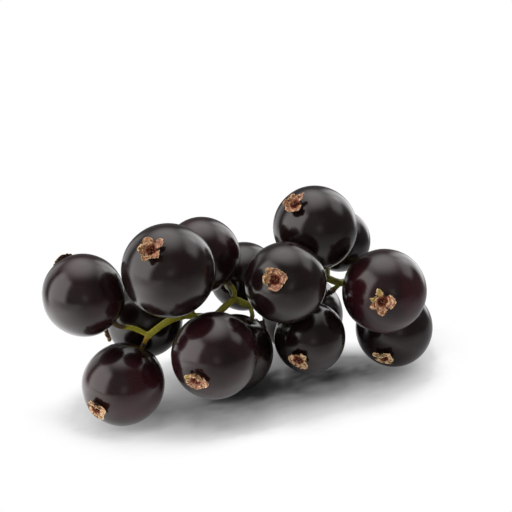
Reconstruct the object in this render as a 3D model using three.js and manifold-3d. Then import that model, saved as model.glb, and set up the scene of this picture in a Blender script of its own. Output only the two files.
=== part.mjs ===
// A sprig of ripe blackcurrants as picked: fifteen berries on one thin, branched green stem.
// Each berry still carries the dried crown of its flower (the calyx).
// Millimetres, +Z up. The sprig lies on a flat surface at Z = 0 and rests on three of its berries.
import * as THREE from "three";
import { mergeVertices } from "three/addons/utils/BufferGeometryUtils.js";
import Module from "manifold-3d";

const wasm = await Module();
wasm.setup();

// ---------------------------------------------------------------- driving dimensions, in mm

// Berries, numbered from the tip of the stem to its cut end.
//   centre: the middle of the berry      radius: half its width
//   flower: the way its dried flower points      stalk: the way its stalk leaves
//   fork:   the fork of the stem that it hangs from      via: bends on the stalk's way
const BERRIES = [
  { centre: [-22.9, -6.1, 17.6], radius: 5.4, flower: [-0.5, 0.68, 0.54], stalk: [0.7, -0.01, -0.71],
    fork: "tip", via: [[-16.4, -4.9, 12.2]] },
  { centre: [-17.9, -8.0, 5.4], radius: 5.5, flower: [-0.54, -0.81, -0.22], stalk: [0.42, 0.57, 0.71],
    fork: "tip", via: [] },
  { centre: [-15.7, 1.7, 10.6], radius: 5.2, flower: [-0.9, 0.2, -0.36], stalk: [0.93, -0.03, 0.36],
    fork: "second", via: [[-9.2, -1.2, 13.4]] },
  { centre: [-11.4, -7.7, 21.7], radius: 6.1, flower: [-0.25, -0.7, 0.67], stalk: [0.34, 0.63, -0.7],
    fork: "third", via: [] },
  { centre: [-5.5, -9.1, 10.2], radius: 5.7, flower: [-0.37, -0.92, -0.15], stalk: [0.36, 0.86, 0.36],
    fork: "fourth", via: [[-4.4, -2.2, 13.0]] },
  { centre: [-7.5, 3.4, 19.9], radius: 5.2, flower: [-0.8, 0.56, 0.2], stalk: [0.68, -0.34, -0.65],
    fork: "fifth", via: [[-3.0, 1.6, 15.0]] },
  { centre: [-1.8, 12.6, 13.1], radius: 5.1, flower: [0.25, 0.96, -0.08], stalk: [-0.42, -0.9, 0.12],
    fork: "fifth", via: [[-3.4, 2.4, 14.7], [-4.0, 4.6, 14.5]] },
  { centre: [-3.0, 1.4, 5.7], radius: 5.4, flower: [-0.55, 0.15, -0.82], stalk: [0.41, 0.02, 0.91],
    fork: "sixth", via: [] },
  { centre: [4.0, -3.1, 18.2], radius: 5.5, flower: [-0.25, -0.87, 0.41], stalk: [0.29, 0.88, -0.38],
    fork: "seventh", via: [[5.3, 4.7, 14.7]] },
  { centre: [7.6, 1.0, 8.3], radius: 5.0, flower: [-0.33, -0.91, -0.23], stalk: [0.32, 0.9, 0.29],
    fork: "eighth", via: [[9.0, 7.5, 12.7]] },
  { centre: [8.4, 7.1, 22.6], radius: 5.9, flower: [-0.47, -0.53, 0.7], stalk: [0.46, 0.45, -0.76],
    fork: "side", via: [] },
  { centre: [12.8, 18.6, 16.6], radius: 4.7, flower: [0.27, 0.96, 0.07], stalk: [-0.27, -0.96, -0.07],
    fork: "side", via: [[10.9, 11.0, 15.8]] },
  { centre: [18.1, 2.9, 14.6], radius: 5.9, flower: [-0.15, -0.98, 0.15], stalk: [0.13, 0.99, -0.06],
    fork: "tenth", via: [[13.6, 8.6, 13.9], [16.3, 10.5, 13.8]] },
  { centre: [7.1, 14.8, 5.9], radius: 6.05, flower: [-0.95, 0.02, -0.3], stalk: [0.72, -0.1, 0.69],
    fork: "tenth", via: [[12.2, 10.4, 12.6]] },
  { centre: [20.7, 10.6, 5.6], radius: 5.7, flower: [-0.33, -0.84, -0.43], stalk: [0.1, 0.75, 0.65],
    fork: "last", via: [[19.4, 15.8, 12.0]] },
];
const BERRY_STRETCH = 1.03; // length from stalk to flower over width
const FLOWER_FLAT = 0.25; // how far the skin is drawn in under the flower
const STALK_DIMPLE = 0.3; // how deep the stalk sits in the skin
const FLOWER_SPREAD = 18; // degrees round the flower end over which the skin flattens
const DIMPLE_SPREAD = 13; // degrees round the stalk end over which the skin dips
const BERRY_SIDES = 20;
const BERRY_LATITUDES = [0, 9, 20, 36, 54, 72, 90, 108, 126, 144, 160, 171, 180]; // degrees from the flower

// The dried flower: a short tube that opens into five papery lobes round a pit.
const CALYX_LOBES = 5;
const CALYX_SIDES = 20;
const CALYX_GAP = 0.12; // from the skin to the underside of the tube
const CLEFT_DEPTH = 0.36; // how far in the clefts cut between the lobes, as a share of the lobe
const LOBE_DIFFERENCE = 0.12; // how much the largest lobe is longer than the mean
const CALYX_TURN = 137.5; // degrees that each flower is turned on from the one before
const CALYX_PROFILE = [ // [radius, height, is it part of a lobe], from the seat round to the pit
  [0, 0, false],
  [0.85, 0, false],
  [1.0, 0.35, false],
  [1.8, 0.72, true],
  [1.66, 1.1, true],
  [0.66, 0.8, false],
  [0.4, 0.35, false],
  [0, 0.32, false],
];
const PRESSED_BERRY = 8; // this berry's flower is squeezed against the surface
const PRESSED_CALYX = { width: 0.8, height: 0.4 };

// The stem's main axis, from its tip to the cut end. The named points are its forks.
const MAIN_AXIS = [
  { at: [-14.6, -4.8, 11.2], fork: "tip" },
  { at: [-12.4, -4.1, 12.7] },
  { at: [-10.2, -3.4, 13.4], fork: "second" },
  { at: [-8.6, -3.0, 13.3], fork: "third" },
  { at: [-5.8, -2.1, 12.9], fork: "fourth" },
  { at: [-4.3, -0.4, 13.6] },
  { at: [-3.0, 1.7, 13.8], fork: "fifth" },
  { at: [-0.9, 2.9, 12.5], fork: "sixth" },
  { at: [1.9, 4.8, 13.3] },
  { at: [4.2, 6.0, 14.1], fork: "seventh" },
  { at: [8.4, 7.1, 14.7], fork: "eighth" },
  { at: [10.4, 7.3, 14.8], fork: "ninth" },
  { at: [11.9, 7.4, 14.1], fork: "tenth" },
  { at: [14.0, 10.5, 13.3] },
  { at: [16.6, 14.0, 12.6], fork: "last" },
  { at: [18.8, 18.4, 11.6] },
  { at: [20.3, 23.4, 10.7] },
];
const SIDE_BRANCH = { from: "ninth", to: [10.4, 9.3, 15.8], fork: "side" }; // carries two berries
const AXIS_RADIUS_TIP = 0.44;
const AXIS_RADIUS_CUT = 0.6;
const STALK_RADIUS = 0.34;
const STALK_FLARE = 0.52; // radius of the stalk's foot, where it meets the berry
const STALK_FLARE_LENGTH = 0.12; // share of the stalk's length over which the foot widens
const STALK_LEAD = 0.7; // the stalk runs straight out of the berry for this far
const STALK_GAP = 0.15; // from the stalk's end to the skin
const FORK_RADIUS = 0.58; // the small swelling at each fork
const AXIS_SIDES = 8;
const STALK_SIDES = 6;
const AXIS_STEPS = 52;
const STALK_STEPS = 9;

const BERRY_SKIN = new THREE.MeshStandardMaterial({ color: 0x1a1119, roughness: 0.22, metalness: 0 });
const DRIED_FLOWER = new THREE.MeshStandardMaterial({ color: 0xb2916c, roughness: 0.9, metalness: 0 });
const GREEN_STEM = new THREE.MeshStandardMaterial({ color: 0x8d9444, roughness: 0.7, metalness: 0 });

// ---------------------------------------------------------------- helpers

const Y_AXIS = new THREE.Vector3(0, 1, 0);
const vector = (xyz) => new THREE.Vector3(...xyz);
const direction = (xyz) => vector(xyz).normalize();
const radians = THREE.MathUtils.degToRad;

// A closed geometry as a manifold-3d solid.
function solidOf(geometry) {
  const bare = geometry.clone();
  bare.deleteAttribute("normal");
  bare.deleteAttribute("uv");
  const merged = mergeVertices(bare, 1e-4);
  const vertProperties = merged.attributes.position.array;
  const triVerts = new Uint32Array(merged.index.array);
  return new wasm.Manifold(new wasm.Mesh({ numProp: 3, vertProperties, triVerts }));
}

// The geometry of a manifold-3d solid.
function geometryOf(solid) {
  const { vertProperties, triVerts } = solid.getMesh();
  const geometry = new THREE.BufferGeometry();
  geometry.setAttribute("position", new THREE.BufferAttribute(vertProperties, 3));
  geometry.setIndex(new THREE.BufferAttribute(triVerts, 1));
  geometry.computeVertexNormals();
  return geometry;
}

// Moves each vertex of a geometry by a function that changes the vector it is given.
function reshape(geometry, change) {
  const positions = geometry.attributes.position;
  const point = new THREE.Vector3();
  for (let i = 0; i < positions.count; i++) {
    change(point.fromBufferAttribute(positions, i));
    positions.setXYZ(i, point.x, point.y, point.z);
  }
  return geometry;
}

// A round twig along a curve: turned along +Y with unit length, then bent along the curve.
function twig(points, sides, steps, radiusAt) {
  const curve = new THREE.CatmullRomCurve3(points, false, "centripetal");
  const frames = curve.computeFrenetFrames(steps, false);
  const profile = [new THREE.Vector2(0, 0)];
  for (let i = 0; i <= steps; i++) profile.push(new THREE.Vector2(radiusAt(i / steps), i / steps));
  profile.push(new THREE.Vector2(0, 1));
  const bent = reshape(new THREE.LatheGeometry(profile, sides), (point) => {
    const { x, y, z } = point;
    const frame = Math.round(y * steps);
    point.copy(curve.getPointAt(y));
    point.addScaledVector(frames.binormals[frame], x);
    point.addScaledVector(frames.normals[frame], z);
  });
  return solidOf(bent);
}

// ---------------------------------------------------------------- berries

// How far the skin is from the middle of a berry, at an angle in degrees from its flower end.
function skinDistance(radius, angle) {
  const stretch = 1 + (BERRY_STRETCH - 1) * Math.cos(radians(angle)) ** 2;
  const flat = FLOWER_FLAT * Math.exp(-((angle / FLOWER_SPREAD) ** 2));
  const dimple = STALK_DIMPLE * Math.exp(-(((180 - angle) / DIMPLE_SPREAD) ** 2));
  return radius * stretch - flat - dimple;
}

// A berry round its own centre. Its stalk end need not be straight opposite its flower end:
// the skin turns gradually from one end's direction to the other's.
function berrySolid({ centre, radius, flower, stalk }) {
  const profile = BERRY_LATITUDES.toReversed().map((angle) => {
    const distance = skinDistance(radius, angle);
    const across = angle % 180 === 0 ? 0 : distance * Math.sin(radians(angle));
    return new THREE.Vector2(across, distance * Math.cos(radians(angle)));
  });
  const flowerEnd = direction(flower);
  const upright = new THREE.Quaternion().setFromUnitVectors(Y_AXIS, flowerEnd);
  const bend = new THREE.Quaternion().setFromUnitVectors(flowerEnd, direction(stalk).negate());
  const body = reshape(new THREE.LatheGeometry(profile, BERRY_SIDES), (point) => {
    const share = point.angleTo(Y_AXIS) / Math.PI;
    const partBend = new THREE.Quaternion().slerp(bend, share);
    point.applyQuaternion(upright).applyQuaternion(partBend);
  });
  // A berry that lies on the surface gives a little, which leaves a small flat spot.
  const underSurface = new THREE.BoxGeometry(4 * radius, 4 * radius, 2 * radius);
  underSurface.translate(0, 0, -centre[2] - radius);
  return solidOf(body).subtract(solidOf(underSurface));
}

// ---------------------------------------------------------------- dried flowers

// A calyx on its own axis, +Y away from the berry.
function calyxGeometry() {
  const profile = CALYX_PROFILE.map(([radius, height]) => new THREE.Vector2(radius, height));
  const lobed = CALYX_PROFILE.filter(([, , isLobe]) => isLobe);
  const lowestLobe = Math.min(...lobed.map(([, height]) => height));
  const throat = Math.min(...lobed.map(([radius]) => radius)) * (1 - CLEFT_DEPTH);
  const isLobe = (point) => point.y >= lowestLobe - 1e-6 && Math.hypot(point.x, point.z) > throat;
  return reshape(new THREE.LatheGeometry(profile, CALYX_SIDES), (point) => {
    if (!isLobe(point)) return;
    const around = Math.atan2(point.x, point.z);
    const cleft = CLEFT_DEPTH * (0.5 - 0.5 * Math.cos(CALYX_LOBES * around));
    const reach = (1 - cleft) * (1 + LOBE_DIFFERENCE * Math.cos(around));
    point.x *= reach;
    point.z *= reach;
  });
}

// ---------------------------------------------------------------- stem

function stemSolid() {
  const forks = Object.fromEntries(
    MAIN_AXIS.filter(({ fork }) => fork).map(({ at, fork }) => [fork, vector(at)]),
  );
  forks[SIDE_BRANCH.fork] = vector(SIDE_BRANCH.to);

  const axisRadius = (along) => THREE.MathUtils.lerp(AXIS_RADIUS_TIP, AXIS_RADIUS_CUT, along);
  const axisPoints = MAIN_AXIS.map(({ at }) => vector(at));
  const branches = [twig(axisPoints, AXIS_SIDES, AXIS_STEPS, axisRadius)];

  const sidePoints = [forks[SIDE_BRANCH.from], forks[SIDE_BRANCH.fork]];
  branches.push(twig(sidePoints, STALK_SIDES, 2, () => STALK_RADIUS));

  // A stalk keeps its thickness up to its foot, which flares where it holds the berry.
  const stalkRadius = (along) => {
    const foot = Math.max(0, (along - 1 + STALK_FLARE_LENGTH) / STALK_FLARE_LENGTH);
    return THREE.MathUtils.lerp(STALK_RADIUS, STALK_FLARE, foot);
  };
  for (const { centre, radius, stalk, fork, via } of BERRIES) {
    const reach = skinDistance(radius, 180) + STALK_GAP;
    const end = vector(centre).addScaledVector(direction(stalk), reach);
    const lead = vector(centre).addScaledVector(direction(stalk), reach + STALK_LEAD);
    const route = [forks[fork], ...via.map(vector), lead, end];
    branches.push(twig(route, STALK_SIDES, STALK_STEPS, stalkRadius));
  }

  const swelling = solidOf(new THREE.SphereGeometry(FORK_RADIUS, AXIS_SIDES, AXIS_SIDES / 2));
  for (const { x, y, z } of Object.values(forks)) branches.push(swelling.translate(x, y, z));
  return wasm.Manifold.union(branches);
}

// ---------------------------------------------------------------- the sprig

const sprig = new THREE.Group();

const stem = new THREE.Mesh(geometryOf(stemSolid()), GREEN_STEM);
stem.name = "stem";
sprig.add(stem);

BERRIES.forEach((berry, index) => {
  const number = index + 1;
  const label = String(number).padStart(2, "0");
  const place = new THREE.Group();
  place.position.set(...berry.centre);

  const body = new THREE.Mesh(geometryOf(berrySolid(berry)), BERRY_SKIN);
  body.name = `berry_${label}`;

  const calyx = new THREE.Mesh(calyxGeometry(), DRIED_FLOWER);
  calyx.name = `calyx_${label}`;
  calyx.position.copy(direction(berry.flower)).multiplyScalar(skinDistance(berry.radius, 0) + CALYX_GAP);
  calyx.quaternion.setFromUnitVectors(Y_AXIS, direction(berry.flower));
  calyx.rotateY(radians(number * CALYX_TURN));
  if (number === PRESSED_BERRY) {
    calyx.scale.set(PRESSED_CALYX.width, PRESSED_CALYX.height, PRESSED_CALYX.width);
  }

  place.add(body, calyx);
  sprig.add(place);
});

// The origin is on the surface, under the middle of the sprig.
const box = new THREE.Box3().setFromObject(sprig, true);
const middle = box.getCenter(new THREE.Vector3());
sprig.position.set(-middle.x, -middle.y, -box.min.z);

export default sprig;
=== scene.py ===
"""A sprig of ripe blackcurrants lying on a white surface.

The berries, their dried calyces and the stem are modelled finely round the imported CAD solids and
replace them one by one. Every place and size is measured on those solids. Lengths are in metres.
"""

import math
import random

import bpy
import numpy as np
from mathutils import Euler, Matrix, Quaternion, Vector, noise


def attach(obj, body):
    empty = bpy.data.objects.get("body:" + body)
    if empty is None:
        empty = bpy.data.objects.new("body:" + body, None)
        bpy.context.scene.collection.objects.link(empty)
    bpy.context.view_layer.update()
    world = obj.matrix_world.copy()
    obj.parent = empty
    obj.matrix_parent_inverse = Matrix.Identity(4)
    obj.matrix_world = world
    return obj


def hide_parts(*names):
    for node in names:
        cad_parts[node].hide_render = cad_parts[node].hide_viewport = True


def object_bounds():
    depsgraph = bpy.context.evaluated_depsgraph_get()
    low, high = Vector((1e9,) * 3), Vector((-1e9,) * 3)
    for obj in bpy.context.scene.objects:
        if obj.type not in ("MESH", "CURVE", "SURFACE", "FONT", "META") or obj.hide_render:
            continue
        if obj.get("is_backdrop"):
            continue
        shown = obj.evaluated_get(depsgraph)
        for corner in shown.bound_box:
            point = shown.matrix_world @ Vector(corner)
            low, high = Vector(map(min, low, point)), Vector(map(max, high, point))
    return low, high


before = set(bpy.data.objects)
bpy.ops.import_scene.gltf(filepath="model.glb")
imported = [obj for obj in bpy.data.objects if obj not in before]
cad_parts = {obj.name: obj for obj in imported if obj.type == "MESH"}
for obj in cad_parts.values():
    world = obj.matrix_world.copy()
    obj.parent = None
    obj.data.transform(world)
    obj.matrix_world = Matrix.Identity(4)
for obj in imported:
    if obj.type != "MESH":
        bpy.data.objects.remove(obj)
cad_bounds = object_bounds()

MM = 0.001
UP = Vector((0, 0, 1))
BODY = "root"
BERRY_COUNT = 15


# ---------------------------------------------------------------- camera

LOOK_AT = Vector((1.00, -4.28, 20.91)) * MM
CAMERA_DISTANCE = 158 * MM
CAMERA_ELEVATION = math.radians(20)
CAMERA_FIELD = math.radians(25)


def make_camera():
    """A camera in front of the sprig that looks down on it a little."""
    data = bpy.data.cameras.new("camera")
    data.angle = CAMERA_FIELD
    data.clip_start = 0.01
    camera = bpy.data.objects.new("camera", data)
    bpy.context.scene.collection.objects.link(camera)
    back = Vector((0, -math.cos(CAMERA_ELEVATION), math.sin(CAMERA_ELEVATION)))
    camera.location = LOOK_AT + back * CAMERA_DISTANCE
    camera.rotation_euler = (math.pi / 2 - CAMERA_ELEVATION, 0, 0)
    bpy.context.scene.camera = camera


make_camera()


# ---------------------------------------------------------------- node and mesh helpers


def srgb(red, green, blue):
    """A colour picked on a 0 to 255 scale, as the linear colour that a shader takes."""
    def linear(c):
        c /= 255
        return c / 12.92 if c <= 0.04045 else ((c + 0.055) / 1.055) ** 2.4
    return (linear(red), linear(green), linear(blue), 1)


class Shader:
    """A material's node tree, with one short call for each kind of node used here."""

    def __init__(self, tree):
        self.tree = tree

    def add(self, kind, **inputs):
        node = self.tree.nodes.new(kind)
        self.fill(node, **inputs)
        return node

    def fill(self, node, **inputs):
        """Link or set sockets by name, such as Base_Color, or by number, such as _0."""
        for name, value in inputs.items():
            key = int(name[1:]) if name[0] == "_" else name.replace("_", " ")
            socket = node.inputs[key]
            if isinstance(value, bpy.types.NodeSocket):
                self.tree.links.new(value, socket)
            else:
                socket.default_value = value

    def millimetres(self):
        """The point being shaded, in millimetres."""
        place = self.add("ShaderNodeTexCoord").outputs["Object"]
        return self.vector("SCALE", place, Scale=1 / MM)

    def vector(self, operation, *values, **inputs):
        node = self.add("ShaderNodeVectorMath")
        node.operation = operation
        self.fill(node, **{f"_{i}": value for i, value in enumerate(values)}, **inputs)
        return node.outputs["Value" if operation in ("DOT_PRODUCT", "LENGTH") else "Vector"]

    def math(self, operation, *values):
        node = self.add("ShaderNodeMath")
        node.operation = operation
        self.fill(node, **{f"_{i}": value for i, value in enumerate(values)})
        return node.outputs[0]

    def noise(self, vector, scale, detail=3.0, roughness=0.5, distortion=0.0):
        node = self.add("ShaderNodeTexNoise", Vector=vector, Scale=scale, Detail=detail,
                        Roughness=roughness, Distortion=distortion)
        return node.outputs["Fac"]

    def ramp(self, value, low, high, to_low=0.0, to_high=1.0):
        """The value carried smoothly from low..high to to_low..to_high, and held at the ends."""
        node = self.add("ShaderNodeMapRange")
        node.interpolation_type = "SMOOTHSTEP"
        self.fill(node, Value=value, From_Min=low, From_Max=high, To_Min=to_low, To_Max=to_high)
        return node.outputs["Result"]

    def mix(self, share, first, second):
        node = self.add("ShaderNodeMix")
        node.data_type = "RGBA"
        node.clamp_factor = True
        self.fill(node, _0=share, _6=first, _7=second)
        return node.outputs[2]

    def attribute(self, name):
        node = self.add("ShaderNodeAttribute")
        node.attribute_name = name
        return node.outputs["Fac"]

    def bump(self, height, strength, distance):
        node = self.add("ShaderNodeBump", Height=height, Strength=strength, Distance=distance)
        return node.outputs["Normal"]


def new_material(name):
    """A material, its Shader and its Principled node."""
    material = bpy.data.materials.new(name)
    material.use_nodes = True
    tree = material.node_tree
    return material, Shader(tree), tree.nodes["Principled BSDF"]


def cad_points(node):
    """The vertices of a CAD node, one row each."""
    return np.array([vertex.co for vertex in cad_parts[node].data.vertices])


def add_piece(name, points, faces, material, slot, *nodes):
    """A smooth mesh piece that stands for the named CAD nodes."""
    mesh = bpy.data.meshes.new(name)
    mesh.from_pydata([tuple(point) for point in points], [], faces)
    return add_mesh(name, mesh, material, slot, *nodes)


def add_mesh(name, mesh, material, slot, *nodes):
    """The same, from a mesh that is there already."""
    mesh.materials.clear()
    mesh.materials.append(material)
    mesh.shade_smooth()
    piece = bpy.data.objects.new(name, mesh)
    bpy.context.scene.collection.objects.link(piece)
    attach(piece, BODY)
    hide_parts(*nodes)
    return piece


def set_attribute(piece, name, values):
    """A number on each vertex that the material reads by name."""
    layer = piece.data.attributes.new(name, "FLOAT", "POINT")
    layer.data.foreach_set("value", np.asarray(values, np.float32))


def closed_grid(rows, columns, first_index=0):
    """Faces of a body of revolution: a pole, rows of columns points each, and a pole."""
    faces = []
    top = first_index
    start = first_index + 1
    end = start + rows * columns
    for c in range(columns):
        d = (c + 1) % columns
        faces.append((top, start + c, start + d))
        for r in range(rows - 1):
            a = start + r * columns
            faces.append((a + c, a + columns + c, a + columns + d, a + d))
        last = start + (rows - 1) * columns
        faces.append((last + d, last + c, end))
    return faces


# ---------------------------------------------------------------- what the CAD solids say


class Berry:
    """A berry's place, size and two ends, measured on its CAD solids."""

    STALK_REACH = 0.45 * MM  # the stalk's foot lies within this distance of the skin
    TOUCHING = 0.01 * MM

    def __init__(self, number, stem_points):
        self.number = number
        self.node = f"berry_{number:02d}"
        self.calyx_node = f"calyx_{number:02d}"
        skin = cad_points(self.node)
        # Least squares: the sphere that passes closest to the vertices of the skin.
        terms = np.hstack([2 * skin, np.ones((len(skin), 1))])
        solved = np.linalg.lstsq(terms, (skin ** 2).sum(1), rcond=None)[0]
        self.centre = Vector(solved[:3])
        self.radius = math.sqrt(solved[3] + self.centre.length_squared)
        calyx = cad_points(self.calyx_node)
        self.flower = (Vector(calyx.mean(0)) - self.centre).normalized()
        self.skin_at_flower = max(np.dot(skin - np.array(self.centre), np.array(self.flower)))
        along = np.dot(calyx - np.array(self.centre), np.array(self.flower))
        self.calyx_height = along.max() - along.min()
        across = calyx - np.array(self.centre) - np.outer(along, self.flower)
        self.calyx_reach = np.linalg.norm(across, axis=1).max()
        away = np.linalg.norm(stem_points - np.array(self.centre), axis=1)
        foot = stem_points[away < self.radius + self.STALK_REACH]
        self.stalk = (Vector(foot.mean(0)) - self.centre).normalized()
        self.rests = skin[:, 2].min() < self.TOUCHING


stem_points = cad_points("stem")
berries = [Berry(number, stem_points) for number in range(1, BERRY_COUNT + 1)]


# ---------------------------------------------------------------- berry skin

# How red the skin is under its black, from 0 to 1, by berry.
WINE_TINT = {1: 0.5, 2: 1.0, 5: 0.6, 6: 0.7, 13: 1.0}
PLAIN_TINT = 0.2
SKIN_BLACK = (0.0048, 0.0030, 0.0026, 1)
SKIN_WINE = (0.021, 0.0035, 0.0058, 1)
SHEEN_TINT = (1.0, 0.97, 0.94, 1)  # the skin mirrors a little warmer than the light
SKIN_ROUGHNESS = 0.14
BLOOM_ROUGHNESS = 0.23  # where the wax is thickest


def skin_material(name, tint):
    """Glossy fruit skin: near black, wine red in patches, with a faint waxy bloom."""
    material, shader, surface = new_material(name)
    place = shader.millimetres()
    patches = shader.ramp(shader.noise(place, 0.22, 2), 0.35, 0.65, 0.25 * tint, tint)
    fleck = shader.ramp(shader.noise(place, 3.2, 4, 0.6), 0.45, 0.75, 0, 0.25)
    colour = shader.mix(patches, SKIN_BLACK, SKIN_WINE)
    colour = shader.mix(fleck, colour, srgb(44, 30, 32))
    bloom = shader.noise(place, 0.55, 5, 0.62)
    roughness = shader.ramp(bloom, 0.3, 0.75, SKIN_ROUGHNESS, BLOOM_ROUGHNESS)
    pores = shader.noise(place, 5.5, 3, 0.55)
    shader.fill(surface, Base_Color=colour, Roughness=roughness, IOR=1.42, Specular_Tint=SHEEN_TINT,
                Normal=shader.bump(pores, 0.10, 0.03 * MM))
    return material


BERRY_COLUMNS = 96
BERRY_ROWS = 71
BERRY_STRETCH = 0.03  # how much longer than wide
FLOWER_FLAT = 0.25 * MM  # how far the skin is drawn in under the flower
STALK_DIMPLE = 0.30 * MM
FLOWER_SPREAD = math.radians(18)
DIMPLE_SPREAD = math.radians(13)
UNEVENNESS = 0.006  # of the radius
UNEVEN_SCALE = 1.6  # swells to the radius


def skin_distance(berry, polar):
    """How far the skin is from the berry's centre, at an angle from its flower end."""
    stretch = 1 + BERRY_STRETCH * math.cos(polar) ** 2
    flat = FLOWER_FLAT * math.exp(-((polar / FLOWER_SPREAD) ** 2))
    dimple = STALK_DIMPLE * math.exp(-(((math.pi - polar) / DIMPLE_SPREAD) ** 2))
    return berry.radius * stretch - flat - dimple


def berry_points(berry):
    """The skin in rows from the flower's end to the stalk's end, which needn't lie opposite."""
    upright = UP.rotation_difference(berry.flower)
    bend = berry.flower.rotation_difference(-berry.stalk)
    points = []

    def add(polar, around):
        aside = math.sin(polar)
        out = Vector((aside * math.cos(around), aside * math.sin(around), math.cos(polar)))
        out.rotate(upright)
        out.rotate(Quaternion().slerp(bend, polar / math.pi))
        uneven = UNEVENNESS * noise.noise(out * UNEVEN_SCALE + Vector((berry.number * 7.3, 0, 0)))
        point = berry.centre + out * skin_distance(berry, polar) * (1 + uneven)
        point.z = max(point.z, 0)
        points.append(point)

    add(0, 0)
    for row in range(1, BERRY_ROWS + 1):
        for column in range(BERRY_COLUMNS):
            add(math.pi * row / (BERRY_ROWS + 1), 2 * math.pi * column / BERRY_COLUMNS)
    add(math.pi, 0)
    return points


def make_berries():
    materials = {}
    faces = closed_grid(BERRY_ROWS, BERRY_COLUMNS)
    for berry in berries:
        tint = WINE_TINT.get(berry.number, PLAIN_TINT)
        if tint not in materials:
            materials[tint] = skin_material(f"berry_skin_{round(100 * tint)}", tint)
        add_piece(f"skin_{berry.number:02d}", berry_points(berry), faces, materials[tint],
                  "berry_skin", berry.node)


# ---------------------------------------------------------------- dried calyces

# A crown is a short dark tube that opens into five crumpled papery lobes round a pit.
# The tube's section, up the outer wall, over the throat and down the pit, in mm:
# (radius, height, how far inside, how deep in the pit)
TUBE_SECTION = [
    (0.50, -0.10, 0.0, 0.0),
    (0.88, -0.10, 0.0, 0.0),
    (0.90, 0.10, 0.0, 0.0),
    (0.90, 0.30, 0.0, 0.0),
    (0.92, 0.48, 0.0, 0.0),
    (0.90, 0.58, 0.2, 0.0),
    (0.82, 0.60, 0.6, 0.2),
    (0.72, 0.54, 1.0, 0.6),
    (0.60, 0.42, 1.0, 0.9),
    (0.50, 0.30, 1.0, 1.0),
    (0.38, 0.20, 1.0, 1.0),
    (0.20, 0.16, 1.0, 1.0),
]
TUBE_STEPS = 3  # rows from one point of the section to the next
TUBE_COLUMNS = 90
TUBE_CRINKLE = 0.12  # of the radius
# A lobe's way out of the pit and over the throat, (radius, height) in mm. From there it leans to its
# own rise, and runs on side by side with its neighbours before its tip comes free.
LOBE_ROOT = [(0.40, 0.34), (0.64, 0.58), (0.88, 0.72)]
LOBE_JOINED = 0.26
LOBE_STEPS = 7  # rows from one point of the way to the next
LOBE_ROW = 0.09  # mm from one row to the next
LOBE_COLUMNS = 60
LOBE_THICKNESS = 0.045
LOBE_WIDENING = 1.15
LOBE_CURL = (-5, 30)  # degrees that a lobe curls in along its way: the mean, and the most it differs
LOBE_CUP = (0.25, 0.6)  # how far its sides turn up, in the same way
LOBE_OVERLAP = 0.05  # how far every other lobe lies over its neighbours
LOBE_RAGGED = (0.25, 0.12)  # of the width: large and small tears
PIT_RAGGED = 0.4
CRUMPLE = 0.20  # mm that the folds rise and fall
FACETS = 2.2  # to the mm
STAMENS = 6
STAMEN_ROWS = 7
STAMEN_COLUMNS = 6
STAMEN_RADIUS = (0.035, 0.025)  # at the foot, and how much more at the tip
CAD_CALYX_HEIGHT = 1.1 * MM
CAD_CALYX_REACH = 2.0 * MM

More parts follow.
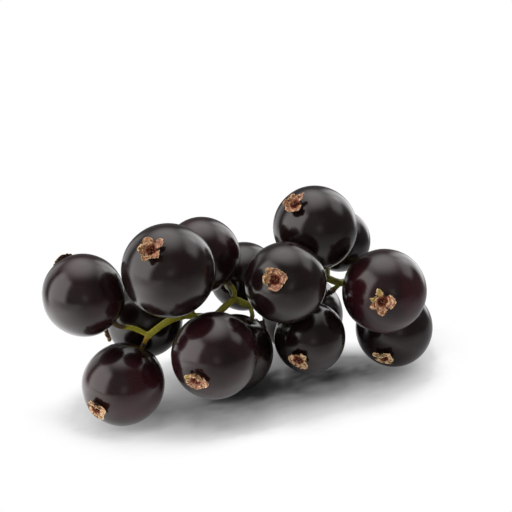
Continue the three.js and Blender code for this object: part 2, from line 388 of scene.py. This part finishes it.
# The lobes of the crowns that face the front. Bearings run clockwise from the top, as the crown is
# seen from outside. (bearing, half width and rise in degrees, reach from the axis in mm,
# bluntness, how pink, how green)
FRONT_LOBES = {
    1: [(22, 46, 30, 1.50, 2.4, 0.0, 0.4), (66, 42, 20, 1.45, 2.4, 0.0, 0.2),
        (112, 30, -12, 2.00, 2.0, 0.0, 0.0), (196, 40, 10, 1.60, 2.4, 0.3, 0.0),
        (300, 44, 10, 1.50, 2.4, 0.3, 0.0)],
    2: [(342, 30, 24, 1.55, 1.6, 0.0, 0.2), (18, 38, 60, 1.35, 2.6, 0.1, 0.0),
        (72, 34, 12, 2.15, 2.2, 0.3, 0.0), (130, 36, 8, 1.75, 1.8, 0.4, 0.0),
        (235, 50, 22, 1.10, 2.4, 0.0, 0.0)],
    3: [(176, 30, 40, 1.60, 2.2, 0.0, 1.0), (100, 36, 16, 1.40, 2.4, 0.0, 1.0),
        (30, 40, 20, 1.40, 2.4, 0.0, 0.0), (250, 36, 16, 1.40, 2.4, 0.0, 1.0),
        (320, 40, 20, 1.50, 2.4, 0.0, 0.0)],
    4: [(40, 25, 8, 2.05, 1.9, 0.9, 0.0), (325, 42, 44, 1.68, 2.6, 0.1, 0.0),
        (255, 40, 48, 1.62, 2.8, 0.0, 0.1), (190, 34, 30, 1.98, 2.2, 0.1, 0.2),
        (125, 32, 30, 1.70, 1.7, 0.4, 0.0)],
    5: [(22, 44, 80, 1.55, 2.2, 0.0, 0.1), (286, 28, 36, 1.55, 1.7, 0.0, 0.8),
        (238, 34, 20, 1.50, 2.2, 0.6, 0.0), (176, 42, 12, 1.35, 2.6, 0.8, 0.0),
        (100, 34, 6, 1.90, 1.6, 0.8, 0.0)],
    9: [(320, 34, 25, 1.90, 1.5, 0.1, 0.1), (14, 36, 42, 1.55, 2.4, 0.4, 0.0),
        (76, 40, 15, 1.78, 2.8, 0.8, 0.0), (164, 42, 18, 1.65, 2.6, 0.7, 0.0),
        (262, 44, 48, 1.50, 2.6, 0.0, 0.4)],
    10: [(286, 34, 20, 1.45, 2.0, 0.5, 0.0), (334, 38, 62, 1.50, 2.4, 0.0, 0.1),
         (46, 30, 22, 1.75, 1.7, 0.0, 0.3), (128, 34, 22, 1.70, 1.8, 0.1, 0.0),
         (205, 46, 10, 1.10, 2.4, 0.6, 0.0)],
    11: [(21, 25, 14, 2.00, 1.6, 0.9, 0.0), (322, 40, 50, 1.40, 2.4, 0.2, 0.0),
         (250, 40, 40, 1.60, 2.4, 0.1, 0.0), (182, 42, 38, 1.55, 2.6, 0.3, 0.0),
         (122, 34, 24, 1.60, 1.8, 0.2, 0.0)],
    13: [(340, 25, 30, 2.10, 1.5, 0.0, 0.9), (86, 44, 10, 1.85, 2.2, 0.5, 0.0),
         (178, 36, 20, 1.90, 1.6, 0.2, 0.0), (243, 30, 20, 1.88, 1.6, 0.1, 0.0),
         (288, 28, 46, 1.70, 1.8, 0.0, 0.9)],
    15: [(301, 32, 16, 1.80, 1.8, 0.1, 0.0), (344, 40, 72, 1.45, 2.4, 0.0, 0.3),
         (36, 32, 22, 2.00, 2.2, 0.0, 0.1), (84, 30, 14, 1.60, 1.8, 0.1, 0.0),
         (190, 56, 18, 1.10, 2.6, 0.3, 0.0)],
}

# What sets single crowns apart, by their number.
PALENESS_AND_LIGHT = {2: 0.6, 3: 0.5, 5: 0.35, 10: 0.6, 15: 0.8}  # how pale the tissue is, from 0 to 1: partly its own colour, partly painted light on these crowns
BACKS = {1: 0.38, 3: 1.0, 14: 0.38}  # how much the backs of the lobes look like their insides
PLAIN_BACKS = 0.6  # and on the others
FOLD_SHADED = (2, 5, 10, 15)  # a painted shade line runs along the middle of their lobes, as of a fold
PRESSED = {1: 0.85, 2: 0.65, 5: 0.65, 10: 0.7, 15: 0.65}  # pressed down to this share of the height


def drawn_lobes(draw):
    """Five uneven lobes for a crown that faces away."""
    first = draw.uniform(0, 360)
    return [(first + 72 * i + draw.uniform(-12, 12), draw.uniform(28, 42), draw.uniform(8, 50),
             draw.uniform(1.4, 1.95), draw.uniform(1.5, 2.8), draw.choice((0.0, 0.1, 0.3, 0.8)),
             draw.choice((0.0, 0.0, 0.2, 0.7))) for i in range(5)]


class Crown:
    """The mesh of one dried flower, in millimetres, with +Z away from its berry."""

    LOOKS = ("inside", "pit", "pale", "pink", "green", "painted_shade", "tone")

    def __init__(self, seed):
        self.seed = seed
        self.points = []
        self.faces = []
        self.looks = {name: [] for name in self.LOOKS}

    def add_skin(self, rows, columns, place):
        """A closed skin of rings between two poles. place(row, column) gives point and looks."""
        start = len(self.points)
        spots = [place(0, 0)]
        spots += [place(row, column) for row in range(1, rows + 1) for column in range(columns)]
        spots.append(place(rows + 1, 0))
        for point, looks in spots:
            self.points.append(point)
            for name, values in self.looks.items():
                values.append(looks.get(name, 0.0))
        self.faces += closed_grid(rows, columns, start)

    def rough(self, x, y, salt):
        """Noise that differs from one crown and one lobe to the next."""
        return noise.noise(Vector((x, y, 17.3 * self.seed + 5.1 * salt)))

    def crushed(self, x, y, salt):
        """Noise with flat facets and sharp creases between them, like crushed paper."""
        skew = 0.366 * (x + y)
        i, j = math.floor(x + skew), math.floor(y + skew)
        u, v = x + skew - i, y + skew - j
        third = (1, 0) if u > v else (0, 1)

        def corner(a, b):
            return noise.cell(Vector((i + a + 0.5, j + b + 0.5, 17 * self.seed + 5 * salt + 0.5)))

        low, high = min(u, v), max(u, v)
        return (1 - high) * corner(0, 0) + (high - low) * corner(*third) + low * corner(1, 1)

    def add_tube(self):
        """The dark tube with its throat and its pit."""
        section = smooth_line(TUBE_SECTION, TUBE_STEPS)

        def place(row, column):
            radius, height, inside, pit = section[min(max(row - 1, 0), len(section) - 1)]
            if row in (0, len(section) + 1):
                radius = 0
            around = 2 * math.pi * column / TUBE_COLUMNS
            crinkle = self.rough(4 * math.cos(around), 4 * math.sin(around), 1)
            crinkle += 0.5 * self.rough(9 * math.cos(around), 9 * math.sin(around), 2 + height)
            radius *= 1 + TUBE_CRINKLE * (1 + pit) * crinkle
            point = Vector((radius * math.sin(around), radius * math.cos(around), height))
            point.z += 0.12 * inside * self.rough(3 * math.cos(around), 3 * math.sin(around), 3)
            return point, {"inside": inside, "pit": pit, "pale": 0.3 * inside * (1 - pit)}

        self.add_skin(len(section), TUBE_COLUMNS, place)

    def add_lobe(self, number, lobe):
        """One papery lobe, from its root in the pit to its torn tip."""
        bearing, half_width, rise, reach, bluntness, pink, green = lobe
        half = math.radians(half_width) * LOBE_WIDENING
        curl = math.radians(LOBE_CURL[1] * self.rough(number, 0.5, 4) + LOBE_CURL[0])
        rise = math.radians(rise)
        way = list(LOBE_ROOT)

        def grow(length, lean):
            way.append((way[-1][0] + length * math.cos(lean), way[-1][1] + length * math.sin(lean)))

        grow(LOBE_JOINED, rise * 0.8 + 0.1)
        length = (reach - way[-1][0]) / max(math.cos(rise + curl / 2), 0.4)
        grow(length / 2, rise)
        grow(length / 2, rise + curl)
        way = smooth_line([(out, up, 0) for out, up in way], LOBE_STEPS)
        joined = len(LOBE_ROOT) * LOBE_STEPS
        rim = way[joined][0]
        cup = LOBE_CUP[0] + LOBE_CUP[1] * self.rough(number, 1.5, 5)
        layer = LOBE_OVERLAP * (number % 2)
        middle = 0.7 * self.rough(number, 2.5, 7)  # where the painted fold shade runs, from -1 to 1
        turn = Matrix.Rotation(-math.radians(bearing), 3, "Z")

        def place(row, column):
            at = min(row, len(way) - 1)
            along = max(at - joined, 0) / (len(way) - 1 - joined)
            free = min(1, at / joined)
            around = 2 * math.pi * column / LOBE_COLUMNS
            across, face = math.cos(around), math.sin(around)
            if row in (0, len(way) - 1):
                across, face = 0, 0
            side = math.copysign(3, across)
            ragged = 1 + LOBE_RAGGED[0] * self.crushed(4 * along, side, 6 + number)
            ragged += LOBE_RAGGED[1] * self.crushed(10 * along, side, 16 + number)
            out, up = way[at][0], way[at][1]
            before, after = way[max(at - 1, 0)], way[min(at + 1, len(way) - 1)]
            lean = math.atan2(after[1] - before[1], after[0] - before[0])
            width = min(out, rim) * half * max(1 - along ** bluntness, 0) ** 0.75 * ragged
            angle = math.radians(bearing) + across * half
            ring = self.crushed(1.6 * math.sin(angle), 1.6 * math.cos(angle), 56)
            out *= 1 + PIT_RAGGED * ring * (1 - free)
            bend = (1 - math.cos(across * half)) * (1 - along)
            x, y = FACETS * (across * width + 3), FACETS * (LOBE_ROW * at)
            fold = self.crushed(x, y, 26 + number) + 0.5 * self.crushed(2.3 * x, 2.3 * y, 36 + number)
            lift = CRUMPLE * fold * (0.5 + 0.5 * along) * free
            lift += cup * across ** 2 * width * along + layer * free
            lift += LOBE_THICKNESS * face * (1 - 0.5 * along)
            # Painted shade: the sides of each lobe near its root, where the lobes meet, are darkened in
            # colour, and on some crowns a line along the middle too.
            seam_shade = abs(across) ** 5 * max(0, 1 - 2.5 * along) * free
            if self.seed in FOLD_SHADED:
                painted_shade = max(0, 1 - 7 * abs(across - middle)) * max(0, 1 - along) ** 0.5 * free
                seam_shade = max(seam_shade, painted_shade)
            tone = 0.5 + 0.5 * self.crushed(1.3 * x, 1.3 * y, 66 + number)
            point = Vector((across * width, out - min(out, rim) * bend - lift * math.sin(lean),
                            up + lift * math.cos(lean)))
            edge = max(abs(across) ** 7 * min(1, 4 * along), along ** 6)
            # Painted light, in part: on some crowns the lobes are made paler all over.
            edge = max(edge, PALENESS_AND_LIGHT.get(self.seed, 0))
            inside = min(max(0.5 + 1.5 * face, BACKS.get(self.seed, PLAIN_BACKS)), 1)
            looks = {"inside": inside if abs(across) < 0.97 else 0.7,
                     "pale": edge, "pink": pink, "green": green * min(1, 0.35 + along),
                     "pit": 0.9 * (1 - free) ** 1.6, "painted_shade": seam_shade, "tone": tone}
            return turn @ point, looks

        self.add_skin(len(way) - 2, LOBE_COLUMNS, place)

    def add_stamen(self, draw):
        """A withered thread that stands in the pit."""
        foot = Vector((draw.uniform(-0.3, 0.3), draw.uniform(-0.3, 0.3), 0.22))
        lean = Vector((draw.uniform(-0.35, 0.35), draw.uniform(-0.35, 0.35), draw.uniform(0.3, 0.6)))
        hook = Vector((draw.uniform(-0.2, 0.2), draw.uniform(-0.2, 0.2), -0.1))

        def place(row, column):
            along = row / (STAMEN_ROWS + 1)
            around = 2 * math.pi * column / STAMEN_COLUMNS
            at_end = row in (0, STAMEN_ROWS + 1)
            thick = 0 if at_end else STAMEN_RADIUS[0] + STAMEN_RADIUS[1] * along
            spot = foot + lean * along + hook * along ** 2
            spot += Vector((thick * math.sin(around), thick * math.cos(around), 0))
            return spot, {"inside": 1.0, "pit": 0.7 * (1 - along), "pale": along}

        self.add_skin(STAMEN_ROWS, STAMEN_COLUMNS, place)


def smooth_line(points, steps):
    """A Catmull-Rom curve through the points, with steps rows from each to the next."""
    points = [Vector(point) for point in points]
    rows = []
    for i in range(len(points) - 1):
        before, after = points[max(i - 1, 0)], points[min(i + 2, len(points) - 1)]
        a, b = points[i], points[i + 1]
        for step in range(steps):
            t = step / steps
            rows.append(0.5 * (2 * a + (b - before) * t + (2 * before - 5 * a + 4 * b - after) * t ** 2
                               + (3 * a - before - 3 * b + after) * t ** 3))
    return rows + [points[-1]]


def calyx_material():
    """Dry papery flower remains: dark brown outside, tan to pink inside, with a dark red pit, and
    painted shade in the seams between the lobes and along the middle of some.
    """
    material, shader, surface = new_material("dried_calyx")
    place = shader.millimetres()
    inside, pit, pale, pink, green, painted_shade, tone = (shader.attribute(name) for name in Crown.LOOKS)
    patches = shader.noise(place, 1.6, 3, 0.6)
    fibres = shader.noise(place, 6.5, 5, 0.68, 0.8)
    specks = shader.noise(place, 11.0, 3, 0.6)
    inner = shader.mix(shader.ramp(patches, 0.35, 0.65), srgb(122, 80, 50), srgb(164, 122, 92))
    inner = shader.mix(pink, inner, srgb(148, 104, 86))
    inner = shader.mix(green, inner, srgb(148, 136, 70))
    inner = shader.mix(shader.ramp(tone, 0.60, 0.85, 0, 0.85), inner, srgb(212, 174, 136))
    inner = shader.mix(shader.ramp(pale, 0.2, 1.0, 0, 0.85), inner, srgb(228, 196, 150))
    inner = shader.mix(shader.ramp(tone, 0.40, 0.12, 0, 0.75), inner, srgb(84, 40, 22))
    inner = shader.mix(shader.ramp(fibres, 0.54, 0.67, 0, 0.75), inner, srgb(72, 34, 18))
    # Painted shade, near black, in the seams between the lobes and along the painted folds.
    inner = shader.mix(shader.ramp(painted_shade, 0.1, 0.6, 0, 0.92), inner, srgb(36, 14, 7))
    deep = shader.mix(shader.ramp(specks, 0.53, 0.66), srgb(68, 14, 6), srgb(160, 86, 48))
    inner = shader.mix(shader.ramp(pit, 0.12, 0.5), inner, deep)
    outer = shader.mix(shader.ramp(fibres, 0.4, 0.7), srgb(26, 15, 10), srgb(66, 42, 26))
    outer = shader.mix(shader.ramp(pale, 0.25, 0.9, 0, 0.6), outer, srgb(150, 122, 84))
    colour = shader.mix(shader.ramp(inside, 0.3, 0.7), outer, inner)
    height = shader.math("ADD", fibres, patches)
    shader.fill(surface, Base_Color=colour, Roughness=shader.ramp(fibres, 0.3, 0.7, 0.55, 0.8),
                Specular_IOR_Level=0.2, Normal=shader.bump(height, 0.5, 0.06 * MM))
    return material


def make_calyx(berry, material):
    """The crown in the place, the size and the way of its CAD solid, and never below the surface."""
    draw = random.Random(100 + berry.number)
    crown = Crown(berry.number)
    crown.add_tube()
    for number, lobe in enumerate(FRONT_LOBES.get(berry.number) or drawn_lobes(draw)):
        crown.add_lobe(number, lobe)
    for _ in range(STAMENS):
        crown.add_stamen(draw)
    top = (UP - berry.flower * UP.dot(berry.flower)).normalized()
    axes = Matrix((top.cross(berry.flower), top, berry.flower)).transposed()
    wide = berry.calyx_reach / CAD_CALYX_REACH
    high = berry.calyx_height / CAD_CALYX_HEIGHT * PRESSED.get(berry.number, 1)
    scale = Vector((wide, wide, high)) * MM
    seat = berry.centre + berry.flower * berry.skin_at_flower
    points = [seat + axes @ (point * scale) for point in crown.points]
    for point in points:
        point.z = max(point.z, 0)
    piece = add_piece(f"crown_{berry.number:02d}", points, crown.faces, material, "dried_calyx",
                      berry.calyx_node)
    for name, values in crown.looks.items():
        set_attribute(piece, name, values)


def make_calyces():
    material = calyx_material()
    for berry in berries:
        make_calyx(berry, material)


# ---------------------------------------------------------------- stem

STEM_VOXEL = 0.09 * MM
STEM_SMOOTHING = 6
STEM_SWELL = 0.03 * MM  # gives back what smoothing takes off
STEM_UNEVENNESS = 0.05 * MM
DRY_FOOT = 1.0 * MM  # how far up a stalk is dry and brown from where it holds its berry
LONG_DRY = {1: 2.4}  # and how many times that on the stalks that have dried more
AMBER_BERRY = 2  # its stalk turns amber a little way above the foot
AMBER_PLACE = 1.3 * MM
YOUNG_REACH = 16 * MM  # how far from its tip the stem is paler


def stem_material():
    """Soft green stem: yellower and paler at the tip, brown and dry where it holds a berry."""
    material, shader, surface = new_material("green_stem")
    place = shader.millimetres()
    young = shader.attribute("young")
    dry = shader.attribute("dry")
    amber = shader.attribute("amber")
    patches = shader.noise(place, 0.7, 3, 0.55)
    fine = shader.noise(place, 6.0, 4, 0.6)
    green = shader.mix(shader.ramp(patches, 0.3, 0.7), srgb(82, 80, 2), srgb(122, 118, 8))
    colour = shader.mix(shader.ramp(young, 0, 1, 0, 0.75), green, srgb(180, 172, 38))
    colour = shader.mix(shader.ramp(amber, 0.1, 0.9, 0, 0.6), colour, srgb(180, 122, 20))
    colour = shader.mix(shader.ramp(fine, 0.50, 0.68, 0, 0.6), colour, srgb(58, 48, 6))
    colour = shader.mix(shader.ramp(dry, 0.1, 0.8, 0, 0.95), colour, srgb(62, 40, 24))
    shader.fill(surface, Base_Color=colour, Roughness=shader.ramp(fine, 0.3, 0.7, 0.42, 0.6),
                Specular_IOR_Level=0.35, Subsurface_Weight=0.15, Subsurface_Scale=1.0,
                Subsurface_Radius=(0.5 * MM, 0.6 * MM, 0.15 * MM),
                Normal=shader.bump(shader.math("ADD", fine, patches), 0.35, 0.06 * MM))
    return material


def remeshed_stem():
    """The CAD stem as one even skin with rounded forks."""
    source = bpy.data.objects.new("stem_source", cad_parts["stem"].data.copy())
    bpy.context.scene.collection.objects.link(source)
    remesh = source.modifiers.new("even", "REMESH")
    remesh.mode = "VOXEL"
    remesh.voxel_size = STEM_VOXEL
    smooth = source.modifiers.new("round", "SMOOTH")
    smooth.factor = 0.5
    smooth.iterations = STEM_SMOOTHING
    evaluated = source.evaluated_get(bpy.context.evaluated_depsgraph_get())
    mesh = bpy.data.meshes.new_from_object(evaluated)
    bpy.data.objects.remove(source)
    return mesh


def make_stem():
    """The stem's skin, with how young, dry and amber it is at each of its points."""
    mesh = remeshed_stem()
    normals = [vertex.normal.copy() for vertex in mesh.vertices]
    for vertex, normal in zip(mesh.vertices, normals):
        uneven = noise.noise(vertex.co / MM * 0.9) + 0.5 * noise.noise(vertex.co / MM * 2.6)
        vertex.co += normal * (STEM_SWELL + STEM_UNEVENNESS * uneven)
    piece = add_mesh("green_stem", mesh, stem_material(), "stem", "stem")
    points = np.array([vertex.co for vertex in mesh.vertices])
    feet = [np.linalg.norm(points - np.array(b.centre + b.stalk * b.radius), axis=1) for b in berries]
    shares = [foot / LONG_DRY.get(berry.number, 1) for berry, foot in zip(berries, feet)]
    from_foot = np.min(shares, axis=0)
    set_attribute(piece, "dry", np.clip((DRY_FOOT - from_foot) / (0.5 * DRY_FOOT), 0, 1))
    from_amber = np.abs(feet[AMBER_BERRY - 1] - AMBER_PLACE)
    set_attribute(piece, "amber", np.clip(1 - from_amber / AMBER_PLACE, 0, 1))
    tip = stem_points[stem_points[:, 0].argmin()]
    from_tip = np.linalg.norm(points - tip, axis=1)
    set_attribute(piece, "young", np.clip(1 - from_tip / YOUNG_REACH, 0, 1))


# ---------------------------------------------------------------- floor and light

FLOOR_SIZE = 4.0
# Soft boxes of light round the sprig: bearing in degrees from the camera's side round to +X,
# height above the horizon, half width and half height in degrees, and brightness.
SOFT_BOXES = [
    (-72, 8, 30, 46, 3.4),
    (148, 13, 15, 25, 2.4),
    (117, 40, 22, 12, 1.9),
    (-135, 3, 14, 25, 0.95),
    (10.6, 13, 6, 6, 0.6),
]
# Round glows, the brightest one high behind: bearing, height, radius of the core and of the fade in
# degrees, and brightness.
GLOWS = [
    (-167, 74, 9, 50, 3.3),
    (-5, 22, 15, 45, 0.18),
]
SOFT_EDGE = 7  # degrees over which a soft box fades, on either side of its edge
ROOM_LIGHT = 0.16
BACKDROP = (1, 1, 1, 1)


def turned_to(bearing, height):
    """The rotation that takes the way to the camera's side (-Y) to a bearing and height in degrees."""
    turn = Euler((0, 0, math.radians(bearing))).to_matrix()
    return turn @ Euler((-math.radians(height), 0, 0)).to_matrix()


def round_glow(shader, view, bearing, height, core, fade, brightness):
    """How bright the round glow is in the direction that a ray leaves in."""
    ahead = turned_to(bearing, height) @ Vector((0, -1, 0))
    facing = shader.vector("DOT_PRODUCT", view, tuple(ahead))
    angle = shader.math("ARCCOSINE", shader.math("MINIMUM", facing, 0.9999))
    return shader.ramp(angle, math.radians(core), math.radians(fade), brightness, 0)


def soft_box(shader, view, bearing, height, half_width, half_height, brightness):
    """How bright one soft box is in the direction that a ray leaves in."""
    turn = turned_to(bearing, height)
    ahead = turn @ Vector((0, -1, 0))
    side = turn @ Vector((1, 0, 0))
    above = turn @ Vector((0, 0, 1))
    facing = shader.vector("DOT_PRODUCT", view, tuple(ahead))
    mask = shader.ramp(facing, 0, 0.1)
    for axis, half in ((side, half_width), (above, half_height)):
        across = shader.math("ABSOLUTE", shader.vector("DOT_PRODUCT", view, tuple(axis)))
        slope = shader.math("DIVIDE", across, shader.math("MAXIMUM", facing, 0.01))
        inner = math.tan(math.radians(max(half - SOFT_EDGE, 1)))
        outer = math.tan(math.radians(half + SOFT_EDGE))
        mask = shader.math("MULTIPLY", mask, shader.ramp(slope, inner, outer, 1, 0))
    return shader.math("MULTIPLY", mask, brightness)


def make_studio_light():
    """A dim room with a few large soft boxes, in front of a white backdrop."""
    world = bpy.data.worlds.new("studio")
    world.use_nodes = True
    bpy.context.scene.world = world
    shader = Shader(world.node_tree)
    room = world.node_tree.nodes["Background"]
    output = world.node_tree.nodes["World Output"]
    view = shader.add("ShaderNodeTexCoord").outputs["Generated"]
    light = ROOM_LIGHT
    for glow in GLOWS:
        light = shader.math("ADD", round_glow(shader, view, *glow), light)
    for box in SOFT_BOXES:
        light = shader.math("ADD", soft_box(shader, view, *box), light)
    shader.fill(room, Color=(1, 1, 1, 1), Strength=light)
    backdrop = shader.add("ShaderNodeBackground", Color=BACKDROP, Strength=1.0)
    seen = shader.add("ShaderNodeLightPath").outputs["Is Camera Ray"]
    mixed = shader.add("ShaderNodeMixShader", _0=seen, _1=room.outputs[0], _2=backdrop.outputs[0])
    shader.fill(output, Surface=mixed.outputs[0])


# How brightly the berries mirror the floor, a painted reflection set in the floor's glow for mirrored
# rays: the way to go, from and to in mm, and how bright there.
MIRRORED_FLOOR = [
    ((1, 0, 0), -52, -8, 2.5, 1.0),
    ((1, 0, 0), 8, 34, 1.0, 0.75),
    ((0.37, -0.93, 0), 6, 40, 1.35, 0.85),
    ((0, 1, 0), -12, 8, 1.0, 0.55),
]
MIRRORED_FADE = (45, 100, 1.0, 0.7)  # the same, away from the sprig on all sides
FLOOR_ON_CROWNS = 1.7  # how much more the floor lights what isn't glossy
# How far from the sprig the mirrored floor fades out: on all sides, and in front, where it reaches
# further out. The front begins between the two values of y.
FLOOR_SEEN = (50 * MM, 140 * MM)
FRONT_SEEN = (70 * MM, 420 * MM)
FRONT_START = (-45 * MM, -15 * MM)

# The surface's own light and soft shadow are painted into its glow, worked out from the berries'
# spheres, so they have no grain. The lights over it, which serve only this painted shadow: bearing and
# height from and to, in degrees, and brightness.
FLOOR_LIGHTS = [
    (-90, -45, 0, 17, 8.3),
    (-90, -45, 17, 58, 2.7),
    (-45, 0, 17, 38, 2.7),
    (-180, -135, 17, 58, 1.2),
    (90, 180, 17, 58, 1.4),
    (45, 90, 38, 58, 1.1),
    (-45, 0, 58, 75, 4.6),
    (45, 135, 58, 75, 3.1),
    (-180, 180, 75, 90, 2.1),
]
LIGHT_STEP = 7.5  # degrees from one ray to the next
SHADOW_SWELL = 1.12  # larger spheres close the chinks between the berries
SHADOW_LIFT = 2.0 * MM  # and the berries that touch the surface shade it more softly
# Painted deeper shade: light below the second value fades out, to the third value's share of it at the
# first.
CREVICE = (0.05, 0.13, 0.15)
CREVICE_GLOW = 0.010  # the light that is left where none reaches
FAINT_SHADE = (0.06, 0.30)  # shade thinner than this isn't seen on so bright a surface, or only in part
SHADOW_REACH = (34 * MM, 48 * MM)  # from the sprig's middle, where the shade begins to fade and ends
GLEAM_PLACE = (16.5 * MM, 20 * MM, 0)  # a painted pool of light between the berries, as of light from behind
GLEAM_REACH = (6 * MM, 12 * MM)
SHADOW_GRID = 1.0 * MM


def floor_rays():
    """The directions to the lights over the surface, and the share of its light from each."""
    rays, shares = [], []
    for left, right, low, high, brightness in FLOOR_LIGHTS:
        columns = math.ceil((right - left) / LIGHT_STEP)
        rows = math.ceil((high - low) / LIGHT_STEP)
        cell = math.radians((right - left) / columns) * math.radians((high - low) / rows)
        for column in range(columns):
            for row in range(rows):
                bearing = math.radians(left + (right - left) * (column + 0.5) / columns)
                height = math.radians(low + (high - low) * (row + 0.5) / rows)
                flat = math.cos(height)
                rays.append((flat * math.sin(bearing), -flat * math.cos(bearing), math.sin(height)))
                shares.append(brightness * flat * math.sin(height) * cell / math.pi)
    return np.array(rays), np.array(shares)


def floor_light(spots):
    """How brightly the surface shows at each spot on it, from 0 to 1: its painted light and shadow."""
    rays, shares = floor_rays()
    blocked = np.zeros((len(spots), len(rays)), bool)
    for berry in berries:
        centre = np.array(berry.centre) + (0, 0, SHADOW_LIFT if berry.rests else 0)
        ahead = (centre - spots) @ rays.T
        apart = ((centre - spots) ** 2).sum(1)[:, None] - (berry.radius * SHADOW_SWELL) ** 2
        span = ahead ** 2 - apart
        blocked |= (span > 0) & (ahead + np.sqrt(np.maximum(span, 0)) > 0)
    light = (~blocked) @ shares
    dark, open_enough, least = CREVICE
    light = light * np.clip((light - dark) / (open_enough - dark), least, 1) + CREVICE_GLOW
    shade = 1 - np.minimum(light, 1)
    light = 1 - shade * np.clip((shade - FAINT_SHADE[0]) / (FAINT_SHADE[1] - FAINT_SHADE[0]), 0, 1)
    near, far = SHADOW_REACH
    fade = np.clip((np.linalg.norm(spots, axis=1) - near) / (far - near), 0, 1)
    # A painted pool of light on the floor, between the berries at the back.
    near, far = GLEAM_REACH
    gleam = np.clip((far - np.linalg.norm(spots - GLEAM_PLACE, axis=1)) / (far - near), 0, 1)
    fade = np.maximum(fade, gleam)
    return light * (1 - fade) + fade


def floor_material():
    """A white glow, the floor's light, that the berries mirror only next to them."""
    material, shader, _ = new_material("white_surface")
    place = shader.add("ShaderNodeTexCoord").outputs["Object"]
    away = shader.vector("LENGTH", place)
    path = shader.add("ShaderNodeLightPath")
    mirrored = path.outputs["Is Glossy Ray"]
    far = shader.ramp(away, *FLOOR_SEEN)
    behind = shader.ramp(shader.vector("DOT_PRODUCT", place, (0, 1, 0)), *FRONT_START)
    far = shader.math("MAXIMUM", shader.math("MULTIPLY", far, behind), shader.ramp(away, *FRONT_SEEN))
    # Painted reflection: the floor's glow, as the berries mirror it, is made brighter or dimmer by
    # place.
    start, end, first, last = MIRRORED_FADE
    as_mirrored = shader.ramp(away, start * MM, end * MM, first, last)
    for way, start, end, first, last in MIRRORED_FLOOR:
        there = shader.vector("DOT_PRODUCT", place, way)
        there = shader.ramp(there, start * MM, end * MM, first, last)
        as_mirrored = shader.math("MULTIPLY", as_mirrored, there)
    crown_gain = shader.math("MULTIPLY", path.outputs["Is Diffuse Ray"], FLOOR_ON_CROWNS - 1)
    mirror_gain = shader.math("MULTIPLY", mirrored, shader.math("SUBTRACT", as_mirrored, 1))
    gain = shader.math("ADD", shader.math("ADD", 1, crown_gain), mirror_gain)
    strength = shader.math("MULTIPLY", gain, shader.attribute("light"))
    glow = shader.add("ShaderNodeEmission", Color=(1, 1, 1, 1), Strength=strength)
    clear = shader.add("ShaderNodeBsdfTransparent")
    shown = shader.add("ShaderNodeMixShader", _0=shader.math("MULTIPLY", mirrored, far),
                       _1=glow.outputs[0], _2=clear.outputs[0])
    shader.fill(material.node_tree.nodes["Material Output"], Surface=shown.outputs[0])
    material.cycles.emission_sampling = "NONE"
    return material


def make_floor():
    """A wide white surface, with a fine grid of points under the sprig that hold its painted shadow."""
    edge = FLOOR_SIZE / 2
    far = SHADOW_REACH[1]
    lines = np.arange(-far, far + SHADOW_GRID / 2, SHADOW_GRID)
    lines = np.concatenate([[-edge], lines, [edge]])
    count = len(lines)
    across, back = np.meshgrid(lines, lines)
    spots = np.stack([across.ravel(), back.ravel(), np.zeros(count * count)], 1)
    faces = [(i, i + 1, i + 1 + count, i + count)
             for row in range(count - 1) for i in range(row * count, row * count + count - 1)]
    mesh = bpy.data.meshes.new("floor")
    mesh.from_pydata([tuple(spot) for spot in spots], [], faces)
    mesh.materials.append(floor_material())
    floor = bpy.data.objects.new("floor", mesh)
    set_attribute(floor, "light", floor_light(spots))
    bpy.context.scene.collection.objects.link(floor)
    floor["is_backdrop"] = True


make_berries()
make_calyces()
make_stem()
make_floor()
make_studio_light()
bpy.context.scene.view_settings.view_transform = "Standard"

boxes = {"cad": cad_bounds, "visual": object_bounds()}
{name: [list(corner) for corner in box] for name, box in boxes.items()}
